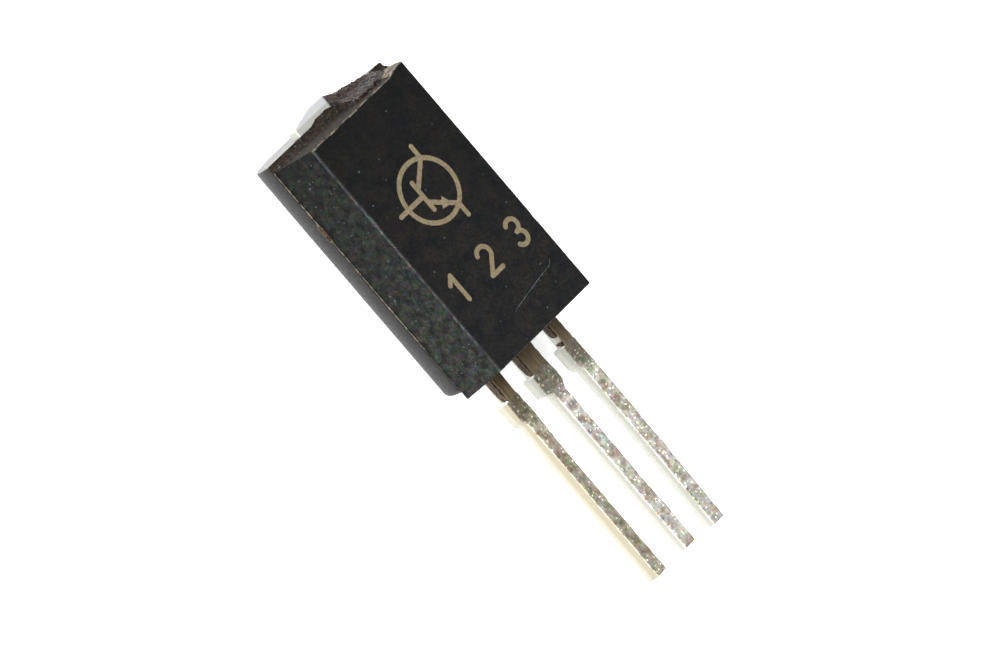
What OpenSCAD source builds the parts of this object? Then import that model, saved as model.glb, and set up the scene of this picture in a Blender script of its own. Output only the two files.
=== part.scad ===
// Long-body TO-92 transistor: a moulded epoxy case round a stamped three-lead frame,
// a silicon chip and two bond wires. It lies on its round back, marked face up.
// X runs across the leads, Y along the case towards its top end, Z up out of the
// marked face. The origin is on the resting surface, under the middle of the part.

/* [Case] */
// Width of the case at the parting line
case_w = 4.9; // [4.6:0.05:5.4]
// Length of each moulded half at the parting line
case_l = 8.03; // [7.6:0.01:9]
// Depth from the marked face back to the parting line
front_depth = 1.5; // [1.3:0.05:1.8]
// Width of the flat marked face
face_w = 4.05; // [3.8:0.05:4.4]
// How far each end of the marked face draws in from the parting line
end_draft = 0.115; // [0.05:0.005:0.2]
// How far the back half sits past the front half, towards the top end
half_shift = 0.22; // [0.1:0.01:0.3]
// Radius of the edges round the marked face
face_edge_r = 0.05; // [0.03:0.01:0.15]
// Radius of the front half's upright corners
corner_r = 0.05; // [0.03:0.01:0.2]
// Angle by which each end of the back half draws in towards the crown
back_draft = 1; // [0:0.5:4]
// Radius of the back half's top rim
back_top_r = 0.06; // [0.03:0.01:0.2]
// Radius of the back half's lead-end rim
back_lead_r = 0.16; // [0.05:0.01:0.3]
// Width of the narrow flat along the crown of the round back
crown_w = 1; // [0.8:0.05:1.2]
// Length of the slope at each end of that flat, which squares the flat off
crown_slope = 0.2; // [0.18:0.02:0.4]
// Diameter of the ejector mark on the round back
ejector_d = 1.6; // [1:0.1:2]
// Depth of the ejector mark
ejector_depth = 0.1; // [0.05:0.01:0.2]

/* [Flash and gate remnant] */
// How far the resin flash stands out along the parting line
seam_h = 0.03; // [0.02:0.01:0.08]
// Thickness of the flash along the parting line
seam_t = 0.05; // [0.03:0.01:0.1]
// Length of the flash nub on the emitter side
nub_l = 0.75; // [0.4:0.05:1.2]
// How far the flash nub stands out
nub_h = 0.09; // [0.05:0.01:0.15]
// Distance from the front half's top edge to the middle of the nub
nub_drop = 2.0; // [1:0.1:3]
// Distance from the case's middle line to the gate remnant's upright face
gate_x = 0.36; // [0.2:0.02:0.6]
// Width of the gate remnant
gate_w = 1.45; // [1:0.05:1.7]
// Height of the gate remnant's tip above the back half
gate_h = 0.38; // [0.2:0.02:0.5]
// Reach of the gate remnant in front of the parting line
gate_front = 1.0; // [0.5:0.05:1.2]
// Reach of the gate remnant behind the parting line
gate_back = 0.5; // [0.3:0.05:0.8]
// Thickness of the resin film on the side of each lead's neck
neck_film_t = 0.05; // [0.03:0.01:0.1]
// Length of the whole resin films on the emitter and collector necks
neck_film_l = 0.78; // [0.3:0.02:0.78]
// Length left of the broken resin film on the base neck
broken_film_l = 0.5; // [0.2:0.02:0.64]

/* [Leads] */
// Distance between neighbouring leads
pitch = 1.27; // [1.2:0.01:1.4]
// Thickness of the lead frame
frame_t = 0.42; // [0.35:0.01:0.5]
// Depth of the lead frame's front face behind the parting line
frame_inset = 0.05; // [0.03:0.01:0.1]
// Width of a lead's tail
tail_w = 0.4; // [0.35:0.01:0.5]
// Width of the emitter's and base's neck
outer_neck_w = 0.36; // [0.3:0.01:0.5]
// Width of the collector's neck
middle_neck_w = 0.6; // [0.5:0.01:0.7]
// Length of the necks below the front half
neck_l = 0.82; // [0.8:0.01:1]
// Length of the cut dam-bar stubs
stub_l = 0.6; // [0.4:0.05:0.8]
// Length of the slope from an outer stub to its tail
outer_stub_slope = 0.2; // [0.06:0.02:0.3]
// Length of the slope from the collector's stub to its tail
middle_stub_slope = 0.08; // [0.06:0.02:0.3]
// How far the collector's stub stands out on the emitter side
middle_stub_out = 0.2; // [0.12:0.01:0.25]
// How far the other stubs stand out on the emitter side
outer_stub_out = 0.1; // [0.05:0.01:0.2]
// How far the cutting burr stands out behind a stub
burr_t = 0.12; // [0.05:0.01:0.2]
// Length of the emitter and collector leads below the front half
lead_l = 7.1; // [5:0.1:14]
// How much longer the base lead was cut
base_extra = 0.1; // [0:0.05:0.3]

/* [Inside] */
// Width of the header plate under the chip
header_w = 3; // [2.6:0.1:3.4]
// Length of the header plate
header_l = 3.2; // [2.8:0.1:3.4]
// Distance from the front half's top edge to the header plate
header_drop = 1.1; // [0.9:0.05:1.4]
// Diameter of the header's locking hole
lock_d = 0.9; // [0.6:0.05:1.1]
// Distance from the header's top edge to the locking hole's middle
lock_drop = 0.75; // [0.6:0.05:0.9]
// Width of the header's tie bar
tie_w = 1.4; // [1:0.05:1.6]
// How far the tie bar's cut end stands out of the back half
tie_out = 0.42; // [0.2:0.02:0.5]
// Width of the slanting part of that cut, on the emitter side
tie_slant_w = 0.7; // [0.2:0.05:1]
// Depth of the slanting part of that cut
tie_slant_d = 0.16; // [0.05:0.01:0.2]
// Width of the emitter's and base's bonding posts
post_w = 1.1; // [0.8:0.05:1.2]
// Length of the bonding posts
post_l = 1.3; // [1:0.05:1.5]
// Gap between the bonding posts and the header plate
post_gap = 0.35; // [0.25:0.05:0.5]
// Side of the square chip
chip_w = 1.1; // [0.9:0.05:1.3]
// Thickness of the chip
chip_t = 0.2; // [0.12:0.01:0.3]
// Distance from the header's lower edge to the chip's middle
chip_rise = 0.95; // [0.8:0.05:1.1]
// Thickness of the solder under the chip
solder_t = 0.04; // [0.02:0.01:0.08]
// Width of the solder past the chip's sides
solder_rim = 0.06; // [0.03:0.01:0.12]
// Diameter of a bond wire
wire_d = 0.08; // [0.05:0.01:0.12]
// Depth of a wire arc's centre under the header's face
wire_drop = 0.6; // [0.4:0.05:0.9]
// Diameter of a wire's bonded ends
bond_d = 0.22; // [0.16:0.01:0.28]
// Height of a wire's bonded ends
bond_h = 0.05; // [0.03:0.01:0.08]
// Distance from the chip's edge to a wire's bond
bond_inset = 0.28; // [0.2:0.01:0.35]

/* [Marking] */
// Thickness of the printed ink
ink_t = 0.012; // [0.008:0.002:0.03]
// Width of the printed lines
ink_w = 0.14; // [0.1:0.01:0.18]
// Radius of the transistor symbol's ring
symbol_r = 0.92; // [0.7:0.02:1.1]
// Distance from the face's middle up to the symbol's middle
symbol_y = 0.95; // [0.7:0.05:1.2]
// Height of the pin numbers
digit_h = 0.95; // [0.7:0.05:1.1]
// Distance from the face's middle down to the pin numbers' middle
digit_drop = 1.5; // [1.4:0.05:2]

/* [Hidden] */
$fn = 48;

// Heights above the resting surface
back_r = case_w / 2;
seam_z = sqrt(back_r * back_r - crown_w * crown_w / 4);
face_z = seam_z + front_depth;
frame_top = seam_z - frame_inset;
frame_z = frame_top - frame_t;
solder_top = frame_top + solder_t;
chip_top = solder_top + chip_t;

// Places along the case, from the middle of its front half
front_end = case_l / 2;
face_end = front_end - end_draft;
back_top = front_end + half_shift;
back_foot = half_shift - front_end;
neck_end = -front_end - neck_l;
stub_end = neck_end - stub_l;
tail_end = -front_end - lead_l;
base_end = tail_end - base_extra;
header_top = front_end - header_drop;
header_foot = header_top - header_l;
post_top = header_foot - post_gap;
chip_y = header_foot + chip_rise;
pad_xy = chip_w / 2 - bond_inset;
post_x = pitch + (post_w - outer_neck_w) / 2;
post_bond_y = post_top - post_l / 2;

// The part is set down with the middle of its outline over the origin
mid_x = (seam_h - nub_h) / 2;
mid_y = (back_top + max(gate_h, tie_out) + min(tail_end, base_end)) / 2;

// Small overlap that joins solids of one moulding
bite = 0.05;

// Height of the thin slices the front half starts from
slice = 0.01;

module set_down() {
    translate([-mid_x, -mid_y, 0]) children();
}

// ---- case ----

module front_half() {
    hull() {
        for (sx = [-1, 1], sy = [-1, 1]) {
            translate([sx * (case_w / 2 - corner_r), sy * (front_end - corner_r), seam_z])
                cylinder(r = corner_r, h = slice, $fn = 32);
            translate([sx * (face_w / 2 - face_edge_r), sy * (face_end - face_edge_r),
                       face_z - face_edge_r])
                ball(face_edge_r);
        }
    }
}

// Ball that reaches its full radius at the very top, so the face keeps its height
module ball(r) {
    rotate_extrude($fn = 32)
        intersection() {
            circle(r = r, $fn = 32);
            translate([0, -r]) square([r, 2 * r]);
        }
}

// Half of a turned bar: round back, rounded rims, cut off flat at the parting line
// and, along its crown, at the resting surface
module back_half() {
    difference() {
        translate([0, 0, seam_z])
            rotate([-90, 0, 0])
                rotate_extrude(angle = 180, $fn = 96)
                    back_profile();
        translate([-back_r, back_foot, -back_r]) cube([2 * back_r, case_l, back_r]);
        translate([0, back_top, 0]) end_cuts();
        translate([0, back_foot, 0]) rotate([0, 0, 180]) end_cuts();
    }
}

// The mould's draft on one end, and the slope where the crown's flat runs out
module end_cuts() {
    translate([0, 0, seam_z])
        rotate([-back_draft, 0, 0])
            translate([-2 * back_r, 0, -2 * back_r]) cube([4 * back_r, back_r, 4 * back_r]);
    translate([0, -crown_slope, 0])
        rotate([45, 0, 0])
            translate([-back_r, 0, -back_r]) cube([2 * back_r, back_r, back_r]);
}

module back_profile() {
    polygon([
        [0, back_foot],
        [back_r - back_lead_r, back_foot],
        [back_r, back_foot + back_lead_r],
        [back_r, back_top - back_top_r],
        [back_r - back_top_r, back_top],
        [0, back_top]
    ]);
    translate([back_r - back_lead_r, back_foot + back_lead_r]) circle(r = back_lead_r);
    translate([back_r - back_top_r, back_top - back_top_r]) circle(r = back_top_r);
}

// Thin ridge squeezed out along the parting line, with one thicker nub
module seam_flash() {
    flash_l = case_l - half_shift - 2 * back_lead_r;
    nub_t = 3 * seam_t;
    for (side = [-1, 1])
        translate([side * (case_w / 2 + seam_h / 2 - bite / 2), half_shift / 2, seam_z - seam_t / 2])
            cube([seam_h + bite, flash_l, seam_t], center = true);
    translate([-case_w / 2 - nub_h, face_end - nub_drop - nub_l / 2, seam_z - nub_t / 2])
        cube([nub_h + bite, nub_l, nub_t]);
}

// Broken resin where the mould's gate was snapped off the top end
module gate_remnant() {
    tip = back_top + gate_h;
    low = back_top + gate_h / 12;
    root = face_end - bite;
    intersection() {
        translate([0, 0, seam_z - gate_back])
            linear_extrude(gate_back + gate_front)
                polygon([
                    [gate_x, root],
                    [gate_x, tip],
                    [gate_x + gate_w / 8, tip - gate_h / 5],
                    [gate_x + gate_w / 2, back_top + gate_h / 3],
                    [gate_x + gate_w, low],
                    [gate_x + gate_w, root]
                ]);
        translate([gate_x - bite, 0, 0])
            rotate([90, 0, 90])
                linear_extrude(gate_w + 2 * bite)
                    polygon([
                        [root, seam_z - gate_back],
                        [tip - gate_h / 2, seam_z - gate_back],
                        [tip, seam_z - gate_back / 2],
                        [tip, seam_z],
                        [back_top, seam_z + gate_front / 3],
                        [front_end, seam_z + gate_front],
                        [root, seam_z + gate_front]
                    ]);
    }
}

// Resin films left standing on the emitter side of the necks
module neck_films() {
    neck_film(-pitch - outer_neck_w / 2, neck_film_l);
    neck_film(-middle_neck_w / 2, neck_film_l);
    neck_film(pitch - outer_neck_w / 2, broken_film_l);
}

module neck_film(side_x, film_l) {
    translate([side_x - neck_film_t, -front_end - film_l, frame_z])
        cube([neck_film_t, film_l + half_shift + bite, frame_t]);
}

module ejector_mark() {
    translate([0, 0, -ejector_depth]) cylinder(d = ejector_d, h = 2 * ejector_depth);
}

module case() {
    color("#2b2b2d")
        set_down()
            difference() {
                union() {
                    front_half();
                    back_half();
                    seam_flash();
                    gate_remnant();
                    neck_films();
                }
                ejector_mark();
                emitter_blank();
                collector_blank();
                base_blank();
                solder_layer();
                chip_block();
                wire_loop(-1);
                wire_loop(1);
                marking_layer();
            }
}

// ---- lead frame ----

module stamped(outline_t = frame_t) {
    translate([0, 0, frame_top - outline_t]) linear_extrude(outline_t) children();
}

// Tail, cut dam-bar stub and neck of one lead, up to the height neck_top
module lead_outline(x, neck_w, stub_out, slope, foot, neck_top) {
    translate([x - tail_w / 2, foot]) square([tail_w, neck_end - foot]);
    translate([x - neck_w / 2, neck_end - bite]) square([neck_w, neck_top - neck_end + bite]);
    stub_outline(x, neck_w, stub_out, slope);
}

module stub_outline(x, neck_w, stub_out, slope) {
    right = max(tail_w, neck_w) / 2;
    polygon([
        [x - tail_w / 2, stub_end - slope],
        [x - tail_w / 2 - stub_out, stub_end],
        [x - tail_w / 2 - stub_out, neck_end],
        [x + right, neck_end],
        [x + right, stub_end],
        [x + tail_w / 2, stub_end - outer_stub_slope]
    ]);
}

module post_outline(side) {
    translate([side * post_x - post_w / 2, post_top - post_l]) square([post_w, post_l]);
}

module tie_bar_outline() {
    left = gate_x - tie_w;
    cut = back_top + tie_out;
    polygon([
        [left, header_top - bite],
        [left, cut - tie_slant_d],
        [left + tie_slant_w, cut],
        [gate_x, cut],
        [gate_x, header_top - bite]
    ]);
}

module emitter_blank() {
    stamped() {
        lead_outline(-pitch, outer_neck_w, outer_stub_out, outer_stub_slope, tail_end,
                     post_top - post_l + bite);
        post_outline(-1);
    }
    stamped(frame_t + burr_t)
        stub_outline(-pitch, outer_neck_w, outer_stub_out, outer_stub_slope);
}

module base_blank() {
    stamped() {
        lead_outline(pitch, outer_neck_w, outer_stub_out, outer_stub_slope, base_end,
                     post_top - post_l + bite);
        post_outline(1);
    }
    stamped(frame_t + burr_t)
        stub_outline(pitch, outer_neck_w, outer_stub_out, outer_stub_slope);
}

module collector_blank() {
    stamped()
        difference() {
            union() {
                lead_outline(0, middle_neck_w, middle_stub_out, middle_stub_slope, tail_end,
                             header_foot + bite);
                translate([-header_w / 2, header_foot]) square([header_w, header_l]);
                tie_bar_outline();
            }
            translate([0, header_top - lock_drop]) circle(d = lock_d);
        }
    stamped(frame_t + burr_t)
        stub_outline(0, middle_neck_w, middle_stub_out, middle_stub_slope);
}

module emitter_lead() {
    color("#b9b8ad") set_down() emitter_blank();
}

module collector_lead() {
    color("#b9b8ad") set_down() collector_blank();
}

module base_lead() {
    color("#b9b8ad") set_down() base_blank();
}

// ---- chip and wires ----

module solder_layer() {
    side = chip_w + 2 * solder_rim;
    translate([-side / 2, chip_y - side / 2, frame_top]) cube([side, side, solder_t]);
}

module chip_block() {
    translate([-chip_w / 2, chip_y - chip_w / 2, solder_top]) cube([chip_w, chip_w, chip_t]);
}

// One bond wire: an arc from its bond on the chip to its bond on a post.
// side is -1 for the emitter and 1 for the base.
module wire_loop(side) {
    chip_bond = [side * pad_xy, chip_y - pad_xy];
    post_bond = [side * post_x, post_bond_y];
    run = post_bond - chip_bond;
    span = norm(run);
    climb = chip_top - frame_top + wire_drop;
    centre = (span * span + wire_drop * wire_drop - climb * climb) / (2 * span);
    arc_r = sqrt(centre * centre + climb * climb);
    cut = 4 * arc_r;
    translate([chip_bond.x, chip_bond.y, 0])
        rotate([0, 0, atan2(run.y, run.x)]) {
            difference() {
                translate([centre, 0, frame_top - wire_drop])
                    rotate([90, 0, 0])
                        rotate_extrude() translate([arc_r, 0]) circle(d = wire_d, $fn = 24);
                translate([centre - cut / 2, -bond_d, frame_top - cut])
                    cube([cut, 2 * bond_d, cut]);
                translate([-cut / 2, -bond_d, chip_top - cut])
                    cube([cut / 2 + bond_d / 2, 2 * bond_d, cut]);
            }
            translate([0, 0, chip_top]) cylinder(d = bond_d, h = bond_h);
            translate([span, 0, frame_top]) cylinder(d = bond_d, h = bond_h);
        }
}

module silicon_chip() {
    color("#5d6470") set_down() chip_block();
}

module chip_solder() {
    color("#9a9a9c") set_down() solder_layer();
}

module emitter_wire() {
    color("#d4a847") set_down() wire_loop(-1);
}

module base_wire() {
    color("#d4a847") set_down() wire_loop(1);
}

// ---- printed marking ----

module dot(p) {
    translate(p) circle(d = ink_w);
}

module stroke(p, q) {
    run = q - p;
    translate(p) rotate(atan2(run.y, run.x)) translate([0, -ink_w / 2]) square([norm(run), ink_w]);
    dot(p);
    dot(q);
}

// Part of a ring, from one angle to another, cut out by a fan of wedges wider than the ring
module arc_stroke(c, r, from, to) {
    wedge = 60;
    reach = 3 * r;
    steps = ceil((to - from) / wedge);
    fan = [for (i = [0 : steps]) let (a = from + (to - from) * i / steps) reach * [cos(a), sin(a)]];
    translate(c)
        intersection() {
            difference() {
                circle(r = r + ink_w / 2);
                circle(r = r - ink_w / 2);
            }
            polygon(concat([[0, 0]], fan));
        }
    dot(c + r * [cos(from), sin(from)]);
    dot(c + r * [cos(to), sin(to)]);
}

module digit_one(h) {
    stroke([0, -h / 2], [0, h / 2]);
    stroke([0, h / 2], [-h / 4, h / 4]);
}

module digit_two(h) {
    r = 0.28 * h;
    turn = -35;
    start = 160;
    bowl = [0, h / 2 - r];
    arc_stroke(bowl, r, turn, start);
    stroke(bowl + r * [cos(turn), sin(turn)], [-r, -h / 2]);
    stroke([-r, -h / 2], [r, -h / 2]);
}

module digit_three(h) {
    r = h / 4;
    open_end = 150;
    arc_stroke([0, r], r, -90, open_end);
    arc_stroke([0, -r], r, -open_end, 90);
}

// Circuit symbol of an NPN transistor, drawn in parts of its ring's radius
module npn_symbol(r) {
    bar_x = -0.3 * r;
    bar_half = 0.5 * r;
    tap = 0.22 * r;
    base_end_x = -1.35 * r;
    line_end = 1.3 * r;
    rim = r * [0.5, sqrt(3) / 2];
    arm = [rim.x - bar_x, rim.y - tap];
    arrow_at = 0.8;
    arrow_l = 0.36 * r;
    arrow_half = 0.2 * r;
    difference() {
        circle(r = r + ink_w / 2);
        circle(r = r - ink_w / 2);
    }
    stroke([bar_x, -bar_half], [bar_x, bar_half]);
    stroke([base_end_x, 0], [bar_x, 0]);
    for (up = [-1, 1]) {
        stroke([bar_x, up * tap], [rim.x, up * rim.y]);
        stroke([rim.x, up * rim.y], [rim.x, up * line_end]);
    }
    translate([bar_x + arrow_at * arm.x, -tap - arrow_at * arm.y])
        rotate(-atan2(arm.y, arm.x))
            polygon([[0, 0], [-arrow_l, arrow_half], [-arrow_l, -arrow_half]]);
}

// The marking lies flush in the face, so that the face stays one flat plane
module marking_layer() {
    bar_h = digit_h - ink_w;
    translate([0, 0, face_z - ink_t])
        linear_extrude(ink_t) {
            translate([0, symbol_y]) npn_symbol(symbol_r);
            translate([-pitch, -digit_drop]) digit_one(bar_h);
            translate([0, -digit_drop]) digit_two(bar_h);
            translate([pitch, -digit_drop]) digit_three(bar_h);
        }
}

module printed_marking() {
    color("#d8cfae") set_down() marking_layer();
}

case();
emitter_lead();
collector_lead();
base_lead();
silicon_chip();
chip_solder();
emitter_wire();
base_wire();
printed_marking();
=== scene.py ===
# %% [markdown]
# # Dressing a long-body TO-92 transistor
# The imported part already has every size: a moulded resin case, three stamped leads and what is
# hidden inside. This lesson puts the looks on that frame: the grain of the mould, the snapped
# gate, the dipped tin on the leads, a marking in tan ink, and a small light tent.

import math
import random

import bmesh
import bpy
from mathutils import Matrix, Vector, noise


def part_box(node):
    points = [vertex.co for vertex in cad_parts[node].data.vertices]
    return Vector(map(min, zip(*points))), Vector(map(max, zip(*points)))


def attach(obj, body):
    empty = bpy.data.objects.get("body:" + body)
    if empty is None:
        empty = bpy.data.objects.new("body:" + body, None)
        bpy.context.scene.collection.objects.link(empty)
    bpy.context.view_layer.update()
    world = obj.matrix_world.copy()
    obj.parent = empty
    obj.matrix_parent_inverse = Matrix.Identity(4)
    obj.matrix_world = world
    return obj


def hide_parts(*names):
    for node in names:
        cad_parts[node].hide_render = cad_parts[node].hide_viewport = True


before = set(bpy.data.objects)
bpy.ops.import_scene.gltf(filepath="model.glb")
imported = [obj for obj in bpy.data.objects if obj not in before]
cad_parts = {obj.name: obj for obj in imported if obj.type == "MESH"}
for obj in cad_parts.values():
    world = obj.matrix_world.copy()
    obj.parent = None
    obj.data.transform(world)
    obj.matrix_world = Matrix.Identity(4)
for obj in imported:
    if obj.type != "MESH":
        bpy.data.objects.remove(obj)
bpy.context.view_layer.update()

# %% [markdown]
# ## Working in millimetres on the case's own axes
# The part is 5 mm wide, so every size here is in millimetres. The case's drawing counts from the
# middle of its front half: x across the leads, y towards the top end, z up from the table. The
# packed case says where that middle lies, so nothing has to be fitted by eye.

# %% Sizes of the case and its place in the frame
MM = 0.001
# Case: its width, the length of each half, the front half's depth and the marked face's width
CASE_W, CASE_L, FRONT_DEPTH, FACE_W = 4.9, 8.03, 1.5, 4.05
# How far each end of the face draws in, and how far the back half sits past the front half
END_DRAFT, HALF_SHIFT = 0.115, 0.22
# Leads: pitch, thickness of the strip and its depth behind the parting line, neck and stub length
PITCH, FRAME_T, FRAME_INSET, NECK_L, STUB_L = 1.27, 0.42, 0.05, 0.82, 0.6
# How far the moulding's remnants stand out: the gate on the top end, the nub on the emitter side
GATE_H, NUB_H = 0.38, 0.09

case_low, case_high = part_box("case")
FACE_Z = case_high.z / MM
SEAM_Z = FACE_Z - FRONT_DEPTH
FRAME_TOP = SEAM_Z - FRAME_INSET
BACK_R = CASE_W / 2
FRONT_END = CASE_L / 2
FACE_END = FRONT_END - END_DRAFT
BACK_TOP = FRONT_END + HALF_SHIFT
BACK_FOOT = HALF_SHIFT - FRONT_END
NECK_END = -FRONT_END - NECK_L
STUB_END = NECK_END - STUB_L
MID_X = case_low.x / MM + BACK_R + NUB_H
MID_Y = case_high.y / MM - BACK_TOP - GATE_H
print("face height", round(FACE_Z, 3), "middle of the front half", round(MID_X, 3), round(MID_Y, 3))

# %% A point of the drawing in the frame


def at(x, y, z):
    """A point of the case's drawing, in millimetres, as a place in the frame, in metres."""
    return Vector((x + MID_X, y + MID_Y, z)) * MM


print("middle of the marked face, m:", [round(v, 5) for v in at(0, 0, FACE_Z)])

# %% [markdown]
# ## The camera
# A picture of a part this small is taken from some way off with a long lens, so its edges stay
# almost parallel. The camera stands a quarter of a metre away on the emitter side, 57 degrees up,
# and is rolled so that the case lies slanting across the frame.

# %% Camera
DISTANCE, AZIMUTH, ELEVATION, ROLL = 251.49, 168.291, 56.718, -59.321
LENS, SENSOR_W, NEAREST = 335.44, 36, 0.01
aim = at(-0.28, -3.352, FACE_Z - 1.517)
turn, rise = math.radians(AZIMUTH), math.radians(ELEVATION)
away = Vector((math.cos(turn) * math.cos(rise), math.sin(turn) * math.cos(rise), math.sin(rise)))
camera_data = bpy.data.cameras.new("long_lens")
camera_data.lens = LENS
camera_data.sensor_width = SENSOR_W
camera_data.clip_start = NEAREST
camera = bpy.data.objects.new("camera", camera_data)
bpy.context.scene.collection.objects.link(camera)
bpy.context.scene.camera = camera
level = away.to_track_quat("Z", "Y").to_matrix().to_4x4()
camera.matrix_world = (Matrix.Translation(aim + away * DISTANCE * MM) @ level
                       @ Matrix.Rotation(math.radians(-ROLL), 4, "Z"))
print("camera at, mm:", [round(v / MM, 1) for v in camera.location])

# %% [markdown]
# ## One way to write colours and nodes
# Colours are written as the hex values a paint chart gives, and turned to linear light once.
# A node is always added the same way: its settings, then what goes into its sockets. A mixing
# node has a set of sockets for each kind of value, so the four that mix colours get names.

# %% Colours
BLEND, UNDER, OVER, BLENDED = 0, 6, 7, 2


def colour(code):
    """An sRGB hex colour as linear light, with full opacity."""
    parts = [int(code[i:i + 2], 16) / 255 for i in (1, 3, 5)]
    return (*[c / 12.92 if c <= 0.04045 else ((c + 0.055) / 1.055) ** 2.4 for c in parts], 1.0)


print("a mid grey in linear light:", round(colour("#808080")[0], 3))

# %% Nodes


def add(tree, kind, settings=None, sockets=None, out=0):
    """Adds one shader node and gives back the output named or numbered by out."""
    node = tree.nodes.new("ShaderNode" + kind)
    for name, value in (settings or {}).items():
        setattr(node, name, value)
    for name, value in (sockets or {}).items():
        if isinstance(value, bpy.types.NodeSocket):
            tree.links.new(value, node.inputs[name])
        else:
            node.inputs[name].default_value = value
    return node.outputs[out] if len(node.outputs) else node


def begin(name):
    """An empty material with a coordinate counted in millimetres of the frame."""
    material = bpy.data.materials.new(name)
    material.use_nodes = True
    tree = material.node_tree
    tree.nodes.clear()
    place = add(tree, "TexCoord", out="Object")
    mm = add(tree, "Mapping", {}, {"Vector": place, "Scale": (1000, 1000, 1000)})
    return material, tree, mm


# %% [markdown]
# ## The light tent
# Small parts are pictured on a white sheet that glows a little from below, so that hardly any
# shadow stays. A wide lamp on the emitter side lights the sides of the leads; a softer one stands
# over the top end. What the marked face mirrors is the dim far side of the tent, so it stays black.

# %% Sheet
SHEET_HALF, SHEET_CELLS, SHEET_GLOW = 0.6, 40, 0.62
sheet_mesh = bpy.data.meshes.new("white_sheet")
sheet_form = bmesh.new()
bmesh.ops.create_grid(sheet_form, x_segments=SHEET_CELLS, y_segments=SHEET_CELLS, size=SHEET_HALF)
sheet_form.to_mesh(sheet_mesh)
sheet_form.free()
white_sheet = bpy.data.objects.new("white_sheet", sheet_mesh)
bpy.context.scene.collection.objects.link(white_sheet)
# Matt paper, uncoated: its fibres are too fine to show, so its faint clouds are 2.5 mm wide
paper, tree, mm = begin("white_paper")
grain = add(tree, "TexNoise", {}, {"Vector": mm, "Scale": 0.4, "Detail": 3.0}, "Fac")
shade = add(tree, "MapRange", {}, {"Value": grain, "To Min": 0.9, "To Max": 0.92})
sheet_skin = add(tree, "BsdfPrincipled", {}, {"Base Color": shade, "Roughness": 0.9,
                                              "Emission Color": (1.0, 1.0, 1.0, 1.0),
                                              "Emission Strength": SHEET_GLOW})
add(tree, "OutputMaterial", {}, {"Surface": sheet_skin})
white_sheet.data.materials.append(paper)
print("sheet, m across:", 2 * SHEET_HALF)

# %% Lamps


def lamp(name, place_mm, aim_mm, size_mm, watts):
    """A square soft lamp at a place, turned to a point, both in millimetres of the frame."""
    data = bpy.data.lights.new(name, "AREA")
    data.size = size_mm * MM
    data.energy = watts
    thing = bpy.data.objects.new(name, data)
    bpy.context.scene.collection.objects.link(thing)
    place, target = Vector(place_mm) * MM, Vector(aim_mm) * MM
    thing.matrix_world = Matrix.Translation(place) @ (
        (place - target).to_track_quat("Z", "Y").to_matrix().to_4x4())
    print(name, "watts:", watts)


lamp("side_window", (-420, 60, 260), (0, 0, 0), 380, 2.9)
lamp("top_window", (-60, 260, 420), (0, 0, 0), 320, 2.6)

# %% Tent
TENT_DIM, TENT_BRIGHT = 0.07, 0.5
tent = bpy.data.worlds.new("tent")
tent.use_nodes = True
tree = tent.node_tree
tree.nodes.clear()
looking = add(tree, "TexCoord", out="Generated")
across = add(tree, "SeparateXYZ", {}, {"Vector": looking}, "X")
glow = add(tree, "MapRange", {}, {"Value": across, "From Min": 0.2, "From Max": -0.7,
                                  "To Min": TENT_DIM, "To Max": TENT_BRIGHT})
cloth = add(tree, "Background", {}, {"Color": (1.0, 0.99, 0.97, 1.0), "Strength": glow})
add(tree, "OutputWorld", {}, {"Surface": cloth})
bpy.context.scene.world = tent
bpy.context.scene.view_settings.view_transform = "Standard"
print("tent glows from", TENT_DIM, "to", TENT_BRIGHT)

# %% [markdown]
# ## One resin, many skins
# The case is black epoxy moulding compound: resin filled with ground silica and tinted with soot.
# One batch of it looks different on each surface, because the mould gives it its skin, and snapping
# or rubbing takes that off again. One material with painted masks could do it, but a function that
# makes a finish from two shades, a grit and a roughness keeps each one readable. Epoxy has an IOR
# of 1.5. Its roughness starts at 0.3 off smooth steel, 0.4 off ground and 0.6 off spark-eroded
# steel, and is then matched to the part.

# %% A film that tints
# Mould release dries in a film that is uneven over tenths of a millimetre, and tints like oil
RELEASE_MM = 0.18


def tinged(tree, mm, ground, film_mm, tinge):
    """A colour seen through a film of uneven thickness, which tints it here and there."""
    film = add(tree, "TexNoise", {}, {"Vector": mm, "Scale": 1 / film_mm, "Detail": 2.0}, "Color")
    tints = add(tree, "VectorMath", {"operation": "MULTIPLY_ADD"},
                {0: film, 1: (tinge,) * 3, 2: (1 - tinge / 2,) * 3})
    return add(tree, "VectorMath", {"operation": "MULTIPLY"}, {0: ground, 1: tints})


# %% How a resin finish is made
# Ground silica is 0.01 to 0.05 mm across: only the coarse end of it is drawn, at 0.045 mm. Pits
# of spark-eroded steel, 0.03 mm wide, are too fine to show and are drawn at 0.07 mm.
FILLER_MM, ERODED_MM = 0.045, 0.07


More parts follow.
